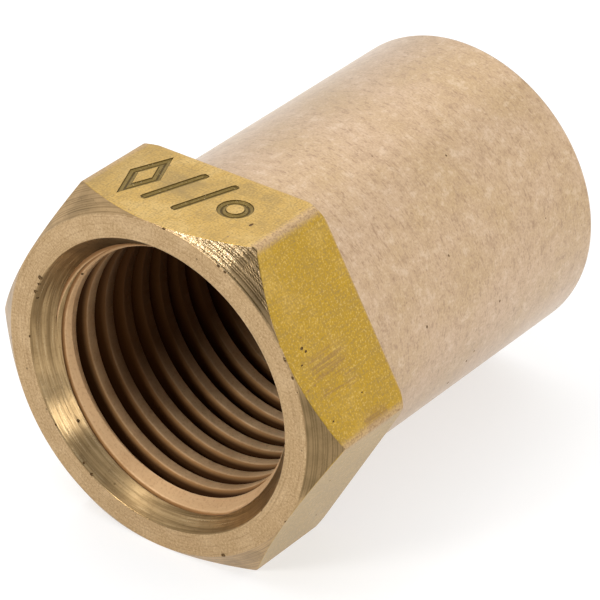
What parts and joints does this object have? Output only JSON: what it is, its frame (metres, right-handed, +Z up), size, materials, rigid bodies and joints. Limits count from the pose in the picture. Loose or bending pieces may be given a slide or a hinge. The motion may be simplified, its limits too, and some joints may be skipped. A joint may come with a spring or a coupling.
{
  "type": "flare fitting",
  "caption": "Brass gas fitting with a hexagon head, a plain round barrel, an internal thread behind a countersunk mouth, and a drilled metering jet pressed into its closed nose.",
  "frame": {"origin": "on the fitting's axis, at the middle of its length, which is the centre of its bounding box", "axes": "+Y along the axis from the mouth to the nose, so the open mouth faces -Y; +Z up, square to the marked wrench flat; +X to the right as seen from the mouth. The fitting lies on the wrench flat that faces -Z."},
  "size_m": [0.0138, 0.0166, 0.012],
  "materials": {
    "body_brass": "turned and drawn brass, matte, with fine tool marks",
    "jet_brass": "turned brass, drilled"
  },
  "bodies": {
    "root": {"fitting_body": "body_brass", "metering_jet": "jet_brass"}
  },
  "joints": []
}
